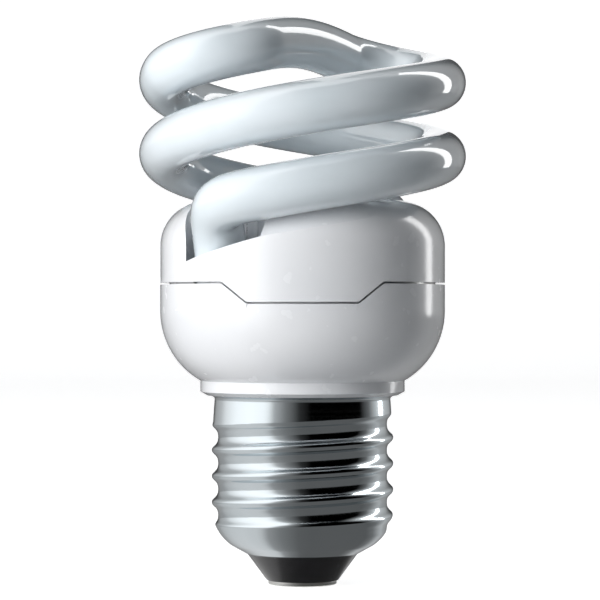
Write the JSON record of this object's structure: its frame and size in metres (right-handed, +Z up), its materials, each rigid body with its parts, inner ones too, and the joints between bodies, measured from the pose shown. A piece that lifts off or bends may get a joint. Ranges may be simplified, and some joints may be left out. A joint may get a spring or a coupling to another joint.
{
  "type": "spiral compact fluorescent bulb",
  "caption": "Compact fluorescent lamp with a double-spiral white glass tube, a two-part white plastic housing and an E27 screw cap.",
  "frame": {"origin": "centre of the lower face of the bottom contact", "axes": "+Z up the lamp's axis from the cap to the spiral, -Y towards the front of the picture, +X to its right"},
  "size_m": [0.0468, 0.0468, 0.0813],
  "materials": {
    "tube_glass": "smooth fired glass, white inside from its powder",
    "cover_plastic": "moulded, satin gloss",
    "cap_nickel": "bright nickel plate on thin brass",
    "contact_nickel": "bright nickel plate",
    "insulator_glass": "black glass, glossy",
    "solder": "dull solder",
    "cement": "matt white cement",
    "board_laminate": "paper laminate",
    "can_sleeve": "shrunk sleeve",
    "ferrite": "ground ferrite",
    "bobbin_plastic": "moulded",
    "copper_wire": "enamelled copper",
    "transistor_body": "moulded",
    "film_dip": "dipped resin",
    "diode_body": "moulded, tinned leads",
    "diac_glass": "glass body",
    "resistor_body": "lacquered",
    "fuse_body": "lacquered",
    "sleeve_fabric": "glass-fibre sleeving",
    "lead_wire": "tinned wire"
  },
  "bodies": {
    "root": {"discharge_tube": "tube_glass", "upper_cover": "cover_plastic", "lower_cover": "cover_plastic", "cap_shell": "cap_nickel", "cap_insulator": "insulator_glass", "centre_contact": "contact_nickel", "contact_solder": "solder", "tube_cement": "cement", "circuit_board": "board_laminate", "bulk_capacitor": "can_sleeve", "choke_core": "ferrite", "choke_bobbin": "bobbin_plastic", "choke_winding": "copper_wire", "drive_transformer_core": "ferrite", "drive_transformer_windings": "copper_wire", "transistor_1": "transistor_body", "transistor_2": "transistor_body", "resonant_capacitor": "film_dip", "blocking_capacitor": "film_dip", "filter_inductor_core": "ferrite", "filter_inductor_winding": "copper_wire", "rectifier_diodes": "diode_body", "diac": "diac_glass", "small_resistors": "resistor_body", "fusible_resistor": "fuse_body", "fuse_sleeve": "sleeve_fabric", "live_lead": "lead_wire", "neutral_lead": "lead_wire", "filament_posts": "lead_wire", "filament_leads": "lead_wire"}
  },
  "joints": []
}
